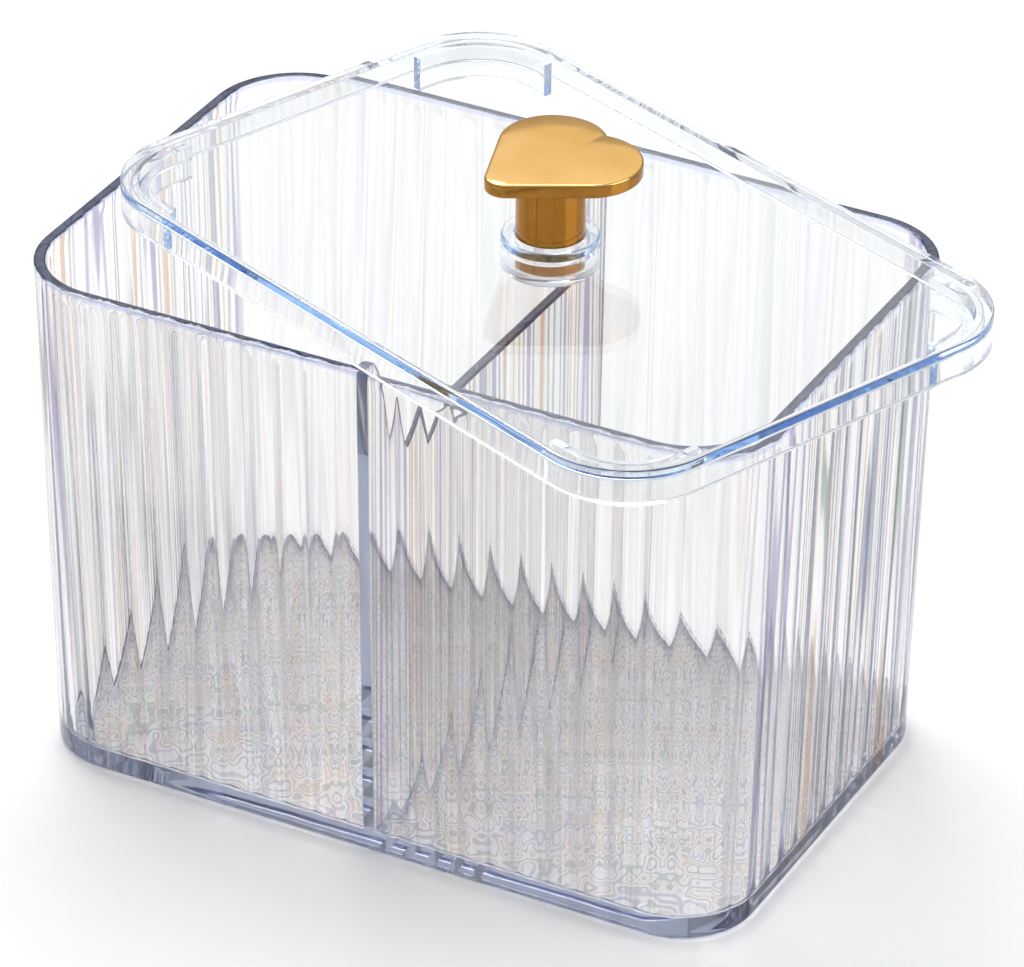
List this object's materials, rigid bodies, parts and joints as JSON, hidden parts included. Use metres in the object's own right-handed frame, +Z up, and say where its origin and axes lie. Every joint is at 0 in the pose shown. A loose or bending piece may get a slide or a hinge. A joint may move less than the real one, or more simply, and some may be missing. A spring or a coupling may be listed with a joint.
{
  "type": "bathroom storage box",
  "caption": "Clear moulded box with fluted inner walls, a scooped divider, and a loose lid with a gold heart knob lying askew on the rim.",
  "frame": {"origin": "centre of the underside of the box", "axes": "+X along the long side of the box to the right, +Y from the front wall to the back wall, +Z up"},
  "size_m": [0.1484, 0.1194, 0.1107],
  "materials": {
    "clear_plastic": "gloss, clear",
    "gold_metal": "polished gold plate"
  },
  "bodies": {
    "root": {"box": "clear_plastic", "lid": "clear_plastic", "knob": "gold_metal"}
  },
  "joints": []
}
